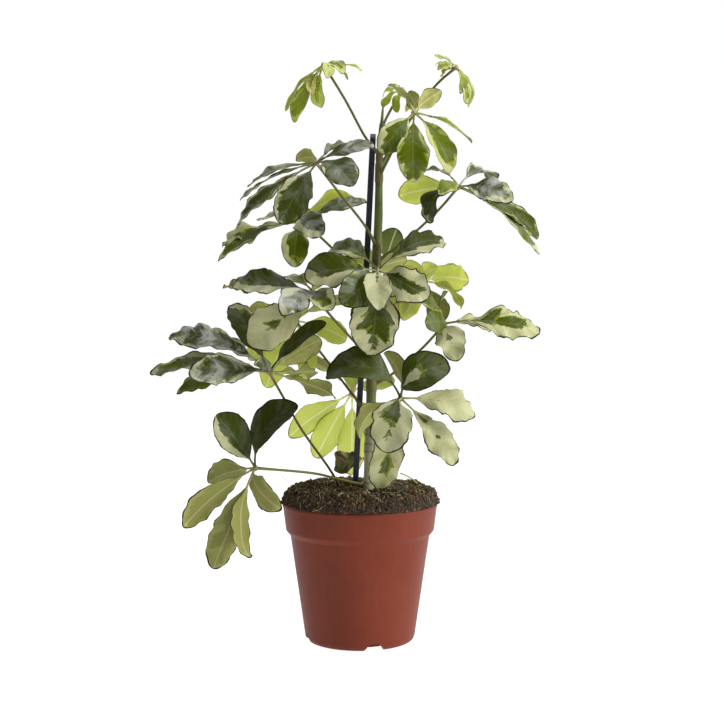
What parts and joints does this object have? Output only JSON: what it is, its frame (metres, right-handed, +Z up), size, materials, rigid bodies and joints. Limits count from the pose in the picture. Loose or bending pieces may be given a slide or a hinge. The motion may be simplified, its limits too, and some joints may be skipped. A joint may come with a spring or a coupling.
{
  "type": "potted umbrella plant",
  "caption": "House plant: variegated compound leaves whose leaflets hang from each hub like umbrella ribs, on a caned stem in a tapered plastic nursery pot.",
  "frame": {"origin": "centre of the underside of the pot, on the surface that it stands on", "axes": "+Z up the plant, -Y towards the front, +X to the right as seen from the front"},
  "size_m": [0.3243, 0.1799, 0.4903],
  "materials": {
    "pot_plastic": "satin",
    "peat": "matte",
    "dyed_cane": "satin",
    "green_stem": "satin",
    "leaf_green": "satin"
  },
  "bodies": {
    "root": {"pot": "pot_plastic", "soil": "peat", "cane": "dyed_cane", "stem": "green_stem", "leaf_top_left": "leaf_green", "leaf_top_right": "leaf_green", "leaf_youngest": "leaf_green", "leaf_top_front": "leaf_green", "leaf_upper_front": "leaf_green", "leaf_upper_left": "leaf_green", "leaf_upper_right": "leaf_green", "leaf_middle_front": "leaf_green", "leaf_middle_back": "leaf_green", "leaf_middle_left": "leaf_green", "leaf_right_back": "leaf_green", "leaf_middle_right": "leaf_green", "leaf_left_back": "leaf_green", "leaf_lower_left": "leaf_green", "leaf_lower_front": "leaf_green", "leaf_lower_back": "leaf_green", "leaf_lowest_left": "leaf_green"}
  },
  "joints": []
}
